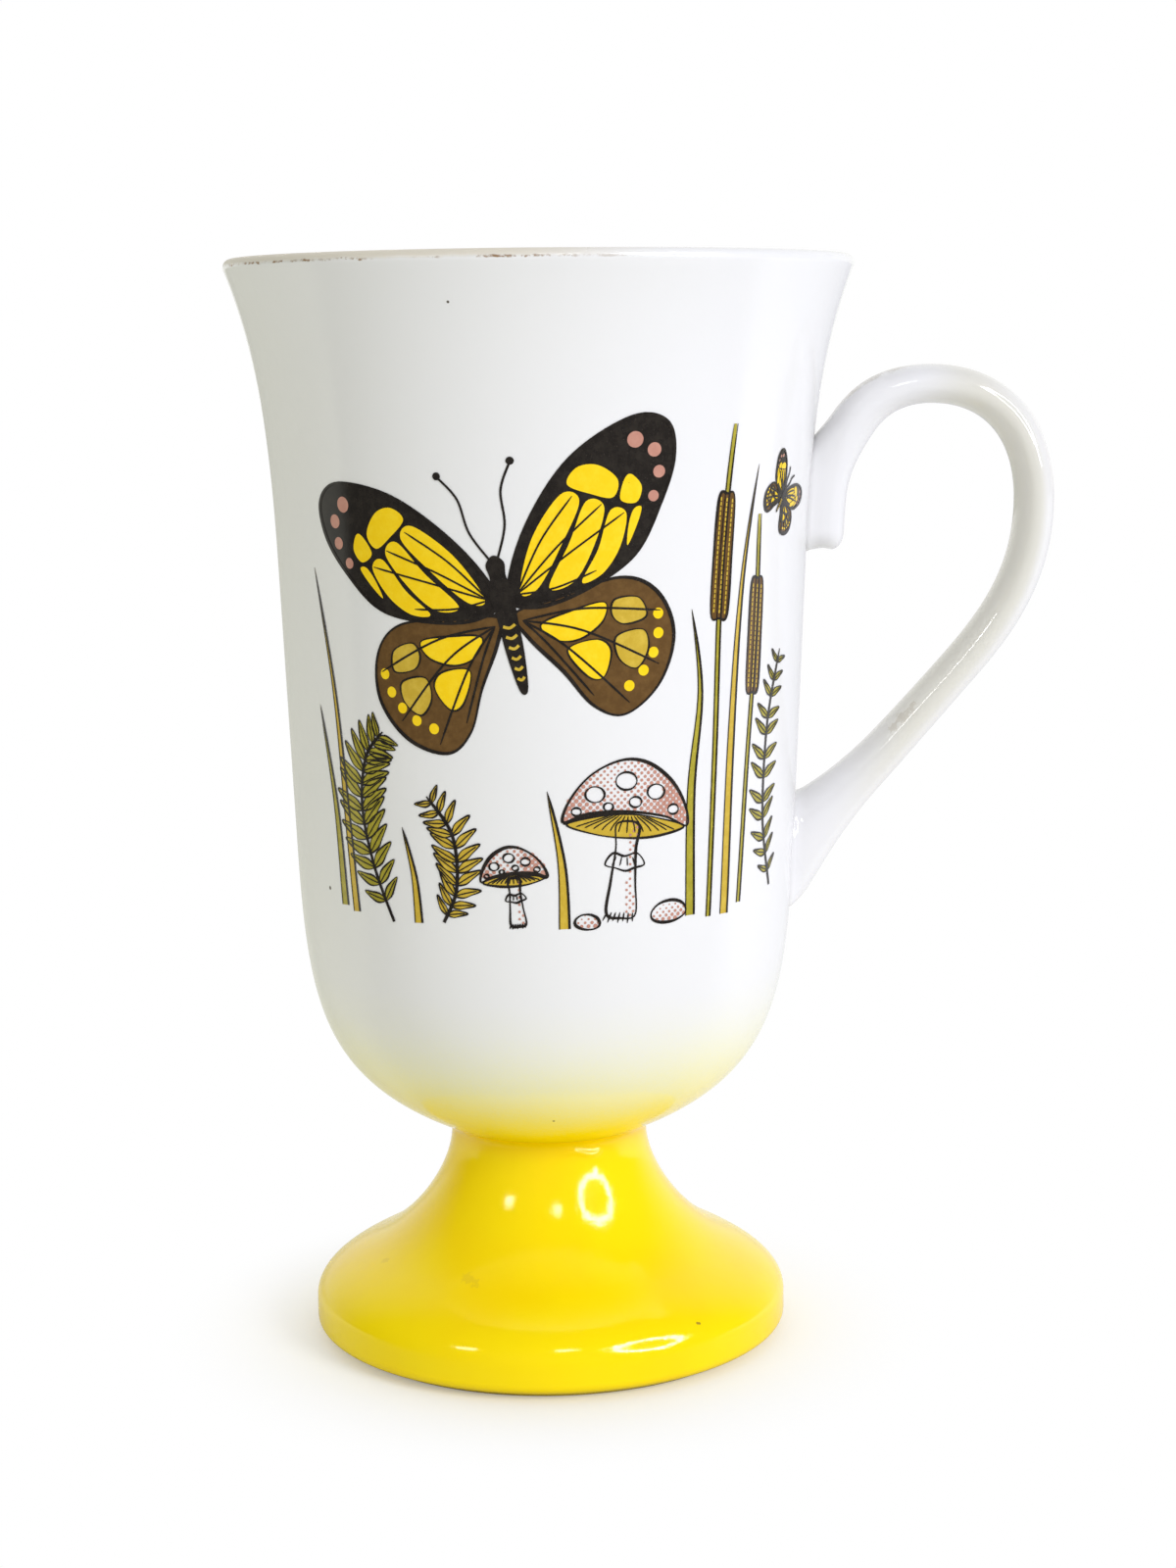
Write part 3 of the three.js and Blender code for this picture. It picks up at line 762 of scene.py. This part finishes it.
# Spots seen in the photo: x, y, z about the mug's axis and radius, in millimetres
BOWL_PINS = [(-9.35, -34.94, 127.35, 0.2), (-25.25, -17.07, 59.5, 0.3), (0.88, -21.53, 32.08, 0.2)]
FOOT_SCUFFS = [(-9.8, -18.7, 11.9, 1.0), (-8.6, -19.5, 11.3, 0.8), (-20.2, -9.2, 11.1, 0.6)]
FOOT_PINS = [(17.75, -22.05, 7.2, 0.24), (17.95, -21.9, 7.1, 0.24)]
HANDLE_STAINS = [(42.6, -3.2, 76.3, 0.8), (43.7, -3.2, 77.3, 1.0), (44.7, -3.2, 78.4, 0.8)]
HANDLE_CROWN_MARKS = [(36.6, -1.0, 117.8, 2.6), (39.4, -1.0, 119.6, 2.6), (42.4, -1.0, 120.6, 2.4)]
HANDLE_PINS = [(55.2, -3.2, 93.9, 0.42), (37.4, -3.2, 71.8, 0.4)]

# The yellow spray on the bowl: heights in millimetres with the share of yellow there
SPRAY_LOW, SPRAY_RANGE, SPRAY_GRAIN, SPRAY_CLOUD = 26.0, 22.0, 3.0, 2.0
SPRAY_STOPS = [
    (28.9, 1.0), (29.7, 0.92), (31.5, 0.77), (33.0, 0.63), (35.0, 0.48),
    (37.0, 0.345), (39.0, 0.23), (41.5, 0.125), (44.0, 0.05),
]
# Worn glaze at the lip: heights at which the cream and the brown line start and stop
CREAM_LOW, CREAM_HIGH, CREAM_SHARE = 131.9, 132.5, 0.8
LINE_LOW, LINE_FULL, LINE_FADES, LINE_HIGH = 131.92, 132.06, 132.16, 132.34
WEAR_RIGHT, WEAR_LEFT = 16, -4  # the wear fades out to the right between these, about the axis
SPECK_CHOICE = 0.93  # the share of cells without a speck
GLAZE_IOR, BARE_ROUGHNESS = 1.55, 0.45
# Painted shade: the handle turns a shaded ivory on its outer bend
IVORY_START, IVORY_STOP, IVORY_HEIGHT, IVORY_LEAN, IVORY_PLAY = 41, 50, 90.0, 0.2, 4.0


def specks(nodes, vector, scale, size):
    """Sparse dark pin specks in the glaze."""
    cells = nodes.new("ShaderNodeTexVoronoi", {"Vector": vector, "Scale": scale})
    near = nodes.math("LESS_THAN", cells.outputs["Distance"], size)
    chance = nodes.new("ShaderNodeSeparateColor", {0: cells.outputs["Color"]}).outputs[0]
    return nodes.times(near, nodes.math("GREATER_THAN", chance, SPECK_CHOICE))


def marks(nodes, in_mm, places, ragged=0.0):
    """Spots at given places, in millimetres about the mug's axis: x, y, z and radius."""
    rag = nodes.times(nodes.wobble(in_mm, 1.6, 3.0, 0.7), ragged)
    total = 0.0
    for x, y, z, radius in places:
        far = nodes.math("ADD", nodes.distance(in_mm, (x + AXIS_X, y, z)), rag)
        near = nodes.math("SUBTRACT", 1.0, nodes.fade(far, 0.55 * radius, radius))
        total = nodes.math("MAXIMUM", near, total)
    return total


def glaze(name, paint, bump=0.012, roughness=0.09):
    """A glossy fired glaze: slightly uneven in gloss and surface. paint gives colour and bareness."""
    material = bpy.data.materials.new(name)
    material.use_nodes = True
    nodes = Nodes(material.node_tree)
    where = nodes.new("ShaderNodeTexCoord").outputs["Object"]
    in_mm = nodes.new("ShaderNodeVectorMath", {0: where, 3: 1 / MM}, operation="SCALE").outputs[0]
    colour, bare = paint(nodes, in_mm)
    peel = nodes.noise(in_mm, 0.9, 3.0, 0.55)
    waves = nodes.noise(in_mm, 0.09, 1.0)
    height = nodes.math("ADD", peel, nodes.times(waves, 2.5))
    bumps = nodes.new("ShaderNodeBump", {"Strength": bump * 8, "Distance": 0.0001, "Height": height})
    gloss = nodes.times(nodes.noise(in_mm, 0.35, 3.0), 0.2 * roughness)
    rough = nodes.math("ADD", gloss, 0.9 * roughness)
    if bare is not None:
        rough = nodes.math("ADD", rough, nodes.times(bare, BARE_ROUGHNESS), clamp=True)
    shader = nodes.new("ShaderNodeBsdfPrincipled", {
        "Base Color": colour, "Roughness": rough, "IOR": GLAZE_IOR, "Normal": bumps.outputs[0],
    })
    nodes.new("ShaderNodeOutputMaterial", {"Surface": shader.outputs[0]})
    return material


def spray(nodes, in_mm, z, tone):
    """Yellow sprayed up from the foot, thinning out in fine grains."""
    grain = nodes.times(nodes.wobble(in_mm, 2.6, 2.0, 0.7), SPRAY_GRAIN)
    cloud = nodes.times(nodes.wobble(in_mm, 0.12), SPRAY_CLOUD)
    level = nodes.math("ADD", z, nodes.math("ADD", grain, cloud))
    share = nodes.math("DIVIDE", nodes.math("SUBTRACT", level, SPRAY_LOW), SPRAY_RANGE, clamp=True)
    ramp = nodes.new("ShaderNodeValToRGB", {0: share})
    stops = ramp.color_ramp.elements
    stops[0].color = rgb(1, 1, 1)
    stops[-1].color = rgb(0, 0, 0)
    for height, yellow in SPRAY_STOPS:
        stops.new((height - SPRAY_LOW) / SPRAY_RANGE).color = rgb(yellow, yellow, yellow)
    return nodes.mix(ramp.outputs[0], tone, nodes.mix(ramp.outputs[0], THIN_YELLOW, SPRAY_YELLOW))


def bowl_paint(nodes, in_mm, sprayed=True):
    x, _, z = nodes.xyz(in_mm)
    colour = nodes.mix(nodes.noise(in_mm, 0.05), WHITE, SECOND_WHITE)
    if sprayed:
        colour = spray(nodes, in_mm, z, colour)
    # Bare cream lip, with a worn brown line where the glaze starts; both fade out to the right
    side = nodes.fade(x, AXIS_X + WEAR_RIGHT, AXIS_X + WEAR_LEFT)
    edge = nodes.math("ADD", z, nodes.times(nodes.wobble(in_mm, 0.5, 3.0, 0.7), 0.5))
    cream = nodes.times(nodes.fade(edge, CREAM_LOW, CREAM_HIGH), nodes.times(side, CREAM_SHARE))
    colour = nodes.mix(cream, colour, LIP_CREAM)
    below = nodes.math("SUBTRACT", 1.0, nodes.fade(edge, LINE_FADES, LINE_HIGH))
    line = nodes.times(nodes.fade(edge, LINE_LOW, LINE_FULL), below)
    patches = nodes.fade(nodes.noise(in_mm, 0.14, 3.0, 0.7), 0.4, 0.58)
    fine = nodes.fade(nodes.noise(in_mm, 1.1, 3.0, 0.7), 0.42, 0.6)
    worn = nodes.times(nodes.times(line, nodes.times(patches, fine)), side)
    colour = nodes.mix(worn, colour, WORN_LINE)
    pins = marks(nodes, in_mm, BOWL_PINS)
    colour = nodes.mix(nodes.math("MAXIMUM", pins, specks(nodes, in_mm, 0.055, 0.018)), colour, SPECK)
    return colour, cream


def inside_paint(nodes, in_mm):
    return bowl_paint(nodes, in_mm, sprayed=False)


def foot_paint(nodes, in_mm):
    thin = nodes.fade(nodes.noise(in_mm, 0.07, 3.0), 0.35, 0.75)
    colour = nodes.mix(nodes.times(thin, 0.35), YELLOW, DEEP_YELLOW)
    # Painted shade: the top of the neck, under the bowl, is darkened to a deep yellow
    neck_shade = nodes.fade(nodes.xyz(in_mm)[2], NECK_HEIGHT - 2.0, SEAT_HEIGHT)
    colour = nodes.mix(nodes.times(neck_shade, 0.7), colour, DEEP_YELLOW)
    smudge = nodes.fade(nodes.noise(in_mm, 0.22, 5.0, 0.75), 0.7, 0.82)
    colour = nodes.mix(nodes.times(smudge, 0.25), colour, SMUDGE)
    scuffs = marks(nodes, in_mm, FOOT_SCUFFS, 2.6)
    colour = nodes.mix(nodes.times(scuffs, 0.22), colour, SCUFF)
    pins = marks(nodes, in_mm, FOOT_PINS)
    colour = nodes.mix(nodes.math("MAXIMUM", pins, specks(nodes, in_mm, 0.06, 0.02)), colour, FOOT_SPECK)
    return colour, None


def under_paint(nodes, in_mm):
    """White glaze in the recess, and a bare ring where the foot stands."""
    edge = nodes.math("ADD", nodes.xyz(in_mm)[2], nodes.times(nodes.noise(in_mm, 0.5, 3.0), 0.6))
    bare = nodes.math("LESS_THAN", edge, 0.7)
    grit = nodes.mix(nodes.noise(in_mm, 2.2, 4.0, 0.7), BARE_CLAY, CLAY_GRIT)
    return nodes.mix(bare, WHITE, grit), bare


def handle_paint(nodes, in_mm):
    """White glaze with painted shade: a shaded ivory on the outer bend, painted whiter again on its outward,
    lit face.
    """
    x, _, z = nodes.xyz(in_mm)
    lean = nodes.times(nodes.math("SUBTRACT", z, IVORY_HEIGHT), IVORY_LEAN)
    play = nodes.times(nodes.noise(in_mm, 0.06), IVORY_PLAY)
    outward = nodes.math("ADD", nodes.math("SUBTRACT", x, lean), play)
    ivory = nodes.fade(outward, AXIS_X + IVORY_START, AXIS_X + IVORY_STOP)
    # Painted light: faces turned outwards are painted whiter, as if lit
    facing = nodes.xyz(nodes.new("ShaderNodeTexCoord").outputs["Normal"])[0]
    lit_face = nodes.times(nodes.fade(facing, 0.1, 0.75), 0.6)
    painted_shade = nodes.times(ivory, nodes.math("SUBTRACT", 1.0, lit_face))
    colour = nodes.mix(painted_shade, COOL_WHITE, HANDLE_SHADE_IVORY)
    colour = nodes.mix(nodes.times(marks(nodes, in_mm, HANDLE_STAINS, 3.0), 0.28), colour, BROWN_MARK)
    # Darker brownish patches along the top edge of the crown
    colour = nodes.mix(nodes.times(marks(nodes, in_mm, HANDLE_CROWN_MARKS, 3.0), 0.34), colour, BROWN_MARK)
    pins = marks(nodes, in_mm, HANDLE_PINS)
    colour = nodes.mix(nodes.math("MAXIMUM", pins, specks(nodes, in_mm, 0.06, 0.016)), colour, SPECK)
    return colour, None


def ink_paint(colour, second):
    def paint(nodes, in_mm):
        patchy = nodes.fade(nodes.noise(in_mm, 0.8, 4.0, 0.7), 0.35, 0.75)
        return nodes.mix(patchy, rgb(*colour), rgb(*second)), None
    return paint


INK_COLOURS = {
    "black": ((0.016, 0.013, 0.011), (0.03, 0.025, 0.02)),
    "yellow": ((0.93, 0.62, 0.005), (0.96, 0.68, 0.02)),
    "gold": ((0.56, 0.38, 0.035), (0.66, 0.47, 0.06)),
    "brown": ((0.115, 0.06, 0.018), (0.16, 0.085, 0.026)),
    "olive": ((0.36, 0.31, 0.03), (0.47, 0.4, 0.05)),
    "rose": ((0.5, 0.24, 0.18), (0.56, 0.29, 0.22)),
}


# The object
def dress(obj, material, slot, *nodes):
    obj.data.materials.append(material)
    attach(obj, "root")
    if nodes:
        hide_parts(*nodes)
    return obj


bowl = dress(make_bowl(), glaze("white_glaze_look", bowl_paint), "white_glaze", "bowl")
bowl.data.materials.append(glaze("bowl_inside_look", inside_paint))
foot_glaze = glaze("yellow_glaze_look", foot_paint, bump=0.03, roughness=0.12)
foot = dress(make_pedestal(), foot_glaze, "yellow_glaze", "pedestal_foot", "neck_slip_joint")
foot.data.materials.append(glaze("foot_under_look", under_paint))
handle_glaze = glaze("handle_glaze_look", handle_paint, bump=0.003, roughness=0.035)
handle_joints = ("upper_handle_slip_joint", "lower_handle_slip_joint")
dress(make_handle(), handle_glaze, "handle_glaze", "handle", *handle_joints)
draw_panel()
for name, ink in inks.items():
    print_layer = mesh_object("print_" + name, ink.points, ink.faces)
    dress(print_layer, glaze("ink_" + name, ink_paint(*INK_COLOURS[name]), roughness=0.14), "white_glaze")


# Studio, in metres
LAMP_TARGET_HEIGHT = 0.018
FIRST_BOUNCE = 1.5  # ray depths below this reach a lamp straight from the glaze that the camera sees


def emitter(name, points, faces, strength):
    """A glowing mesh that only shows in the gloss."""
    mesh = bpy.data.meshes.new(name)
    mesh.from_pydata(points, [], faces)
    obj = bpy.data.objects.new(name, mesh)
    bpy.context.scene.collection.objects.link(obj)
    material = bpy.data.materials.new(name)
    material.use_nodes = True
    nodes = Nodes(material.node_tree)
    depth = nodes.new("ShaderNodeLightPath").outputs["Ray Depth"]
    first = nodes.math("LESS_THAN", depth, FIRST_BOUNCE)
    glow = nodes.new("ShaderNodeEmission", {"Color": rgb(1, 1, 1), "Strength": nodes.times(first, strength)})
    nodes.new("ShaderNodeOutputMaterial", {"Surface": glow.outputs[0]})
    material.cycles.emission_sampling = "NONE"  # only found by the gloss, so the soft box keeps its samples
    mesh.materials.append(material)
    obj.visible_diffuse = False
    obj.visible_shadow = False
    obj.visible_camera = False


def lamp_frame(azimuth, elevation, distance):
    """Place and turn of a lamp that faces the foot; azimuth is to the right of the camera's side."""
    a, e = math.radians(azimuth), math.radians(elevation)
    way = Vector((math.sin(a) * math.cos(e), -math.cos(a) * math.cos(e), math.sin(e)))
    target = Vector((AXIS_X * MM, 0, LAMP_TARGET_HEIGHT))
    return Matrix.Translation(target + way * distance) @ way.to_track_quat("Z", "Y").to_matrix().to_4x4()


def ring_lamp(name, azimuth, elevation, radius, width, strength, distance):
    count = 64
    at = lamp_frame(azimuth, elevation, distance)
    points = []
    for k in range(count):
        a = 2 * math.pi * k / count
        for r in (radius - width / 2, radius + width / 2):
            points.append(tuple(at @ Vector((r * math.cos(a), r * math.sin(a), 0))))
    total = 2 * count
    faces = [(k, k + 1, (k + 3) % total, (k + 2) % total) for k in range(0, total, 2)]
    emitter(name, points, faces, strength)


def spot_lamp(name, azimuth, elevation, radius, strength, distance):
    """A small round lamp that only shows as a spot in the gloss."""
    count = 32
    at = lamp_frame(azimuth, elevation, distance)
    points = []
    for k in range(count):
        a = 2 * math.pi * k / count
        points.append(tuple(at @ Vector((radius * math.cos(a), radius * math.sin(a), 0))))
    emitter(name, points, [tuple(range(count))], strength)


def soft_box(name, azimuth, elevation, radius, power, distance):
    """A large round lamp that lights the mug and doesn't show in its gloss."""
    data = bpy.data.lights.new(name, "AREA")
    data.shape = "DISK"
    data.size = 2 * radius
    data.energy = power
    data.color = (0.97, 0.98, 1.0)
    lamp = bpy.data.objects.new(name, data)
    lamp.matrix_world = lamp_frame(azimuth, elevation, distance)
    lamp.visible_glossy = False
    lamp.visible_camera = False
    bpy.context.scene.collection.objects.link(lamp)


ring_lamp("ring_lamp", azimuth=52, elevation=31, radius=0.24, width=0.06, strength=24, distance=0.9)
spot_lamp("left_lamp", azimuth=-45, elevation=34, radius=0.062, strength=13, distance=0.9)
spot_lamp("front_lamp", azimuth=9, elevation=42, radius=0.026, strength=12, distance=0.4)
spot_lamp("top_lamp", azimuth=54, elevation=12.5, radius=0.05, strength=22, distance=0.9)
soft_box("soft_box", azimuth=44, elevation=25, radius=0.4, power=19.0, distance=2.0)

FLOOR_HALF = 3.0
SHEET_LEFT, SHEET_RIGHT = -0.14, 0.14  # the sheet turns from warm to cool between these
SHEET_NEAR, SHEET_FAR = 0.08, 0.4  # and it dims outwards between these
NEAR_WARM, NEAR_COOL = rgb(0.87, 0.87, 0.77), rgb(0.97, 0.97, 0.98)
FAR_WARM, FAR_COOL = rgb(0.7, 0.7, 0.63), rgb(0.86, 0.86, 0.9)
SHEET_SEEN, SHEET_END = rgb(0.98, 0.98, 0.98), rgb(0.08, 0.08, 0.08)
SHADOW_NEAR, SHADOW_FAR = 0.016, 0.05  # the mug's shadow fades into pure white between these


def make_floor():
    size = FLOOR_HALF
    corners = [(-size, -size, 0), (size, -size, 0), (size, size, 0), (-size, size, 0)]
    mesh = bpy.data.meshes.new("floor")
    mesh.from_pydata(corners, [], [(0, 1, 2, 3)])
    floor = bpy.data.objects.new("floor", mesh)
    bpy.context.scene.collection.objects.link(floor)
    material = bpy.data.materials.new("floor")
    material.use_nodes = True
    nodes = Nodes(material.node_tree)
    where = nodes.new("ShaderNodeTexCoord").outputs["Object"]
    far = nodes.distance(where, (AXIS_X * MM, 0, 0))
    path = nodes.new("ShaderNodeLightPath")
    seen = path.outputs["Is Camera Ray"]
    x, y, _ = nodes.xyz(where)
    # The sheet ends softly in what the glaze mirrors, so that no line of it shows in the foot
    ending = nodes.times(nodes.fade(y, 0.02, -0.05), path.outputs["Is Glossy Ray"])
    right = nodes.fade(x, SHEET_LEFT, SHEET_RIGHT)
    near_sheet = nodes.mix(right, NEAR_WARM, NEAR_COOL)
    far_sheet = nodes.mix(right, FAR_WARM, FAR_COOL)
    sheet = nodes.mix(nodes.fade(far, SHEET_NEAR, SHEET_FAR), near_sheet, far_sheet)
    bounce = nodes.mix(ending, sheet, SHEET_END)
    paper = nodes.new("ShaderNodeBsdfDiffuse", {"Color": nodes.mix(seen, bounce, SHEET_SEEN)})
    white = nodes.new("ShaderNodeEmission", {"Color": rgb(1, 1, 1), "Strength": 1.0})
    fading = nodes.times(nodes.fade(far, SHADOW_NEAR, SHADOW_FAR), seen)
    mixed = nodes.new("ShaderNodeMixShader", {0: fading, 1: paper.outputs[0], 2: white.outputs[0]})
    nodes.new("ShaderNodeOutputMaterial", {"Surface": mixed.outputs[0]})
    mesh.materials.append(material)


make_floor()

KEY_WAY = (0.75, -0.55, 0.36)
ROOM_LEFT, ROOM_RIGHT = rgb(0.625, 0.635, 0.28), rgb(0.77, 0.78, 1.03)
ROOM_FRONT, ROOM_TOP, ROOM_BEHIND = rgb(0.94, 0.945, 1.0), rgb(0.5, 0.5, 0.5), rgb(1.35, 1.35, 1.3)
MIRROR_FRONT, MIRROR_BEHIND = rgb(0.04, 0.04, 0.04), rgb(0.95, 0.95, 0.92)


def make_world():
    """A soft room: bright from the right and the front, dim and warm from the left; white behind."""
    world = bpy.data.worlds.new("studio")
    bpy.context.scene.world = world
    world.use_nodes = True
    nodes = Nodes(world.node_tree)

    def backdrop(colour):
        return nodes.new("ShaderNodeBackground", {"Color": colour, "Strength": 1.0}).outputs[0]

    way = nodes.new("ShaderNodeTexCoord").outputs["Generated"]
    key = tuple(Vector(KEY_WAY).normalized())
    lean = nodes.new("ShaderNodeVectorMath", {0: way, 1: key}, operation="DOT_PRODUCT").outputs["Value"]
    share = nodes.times(nodes.math("ADD", lean, 1.0), 0.5)
    colour = nodes.mix(share, ROOM_LEFT, ROOM_RIGHT)
    _, depth, height = nodes.xyz(way)
    colour = nodes.mix(nodes.fade(depth, -0.2, -1.0), colour, ROOM_FRONT)
    colour = nodes.mix(nodes.fade(height, 0.3, 1.0), colour, ROOM_TOP)
    room = backdrop(nodes.mix(nodes.fade(depth, 0.0, 1.0), colour, ROOM_BEHIND))
    # What the glaze mirrors: a white sweep behind, and a dim room in front
    mirrored = backdrop(nodes.mix(nodes.fade(depth, 0.15, 0.95), MIRROR_FRONT, MIRROR_BEHIND))
    white = backdrop(rgb(1, 1, 1))
    path = nodes.new("ShaderNodeLightPath")
    lit = nodes.new("ShaderNodeMixShader", {0: path.outputs["Is Glossy Ray"], 1: room, 2: mirrored})
    both = nodes.new("ShaderNodeMixShader", {0: path.outputs["Is Camera Ray"], 1: lit.outputs[0], 2: white})
    nodes.new("ShaderNodeOutputWorld", {"Surface": both.outputs[0]})


make_world()

# Camera: place in millimetres from the mug's axis on the table
CAMERA_SIDE, CAMERA_BACK, CAMERA_HEIGHT = 5.31, 345.0, 122.8
CAMERA_PITCH, CAMERA_ROLL = math.radians(8.87), math.radians(-0.55)
FOCAL_PIXELS, FRAME_PIXELS, SENSOR = 2883.0, 1600.0, 36.0


def make_camera():
    right = Vector((1, 0, 0))
    up = Vector((0, math.sin(CAMERA_PITCH), math.cos(CAMERA_PITCH)))
    back = Vector((0, -math.cos(CAMERA_PITCH), math.sin(CAMERA_PITCH)))
    c, s = math.cos(CAMERA_ROLL), math.sin(CAMERA_ROLL)
    right, up = right * c + up * s, up * c - right * s
    data = bpy.data.cameras.new("camera")
    data.sensor_fit = "VERTICAL"
    data.sensor_height = SENSOR
    data.lens = FOCAL_PIXELS / FRAME_PIXELS * SENSOR
    data.clip_start = 0.01
    camera = bpy.data.objects.new("camera", data)
    place = Matrix((right, up, back)).transposed().to_4x4()
    place.translation = Vector((AXIS_X + CAMERA_SIDE, -CAMERA_BACK, CAMERA_HEIGHT)) * MM
    camera.matrix_world = place
    bpy.context.scene.collection.objects.link(camera)
    bpy.context.scene.camera = camera


make_camera()
bpy.context.scene.view_settings.view_transform = "Standard"
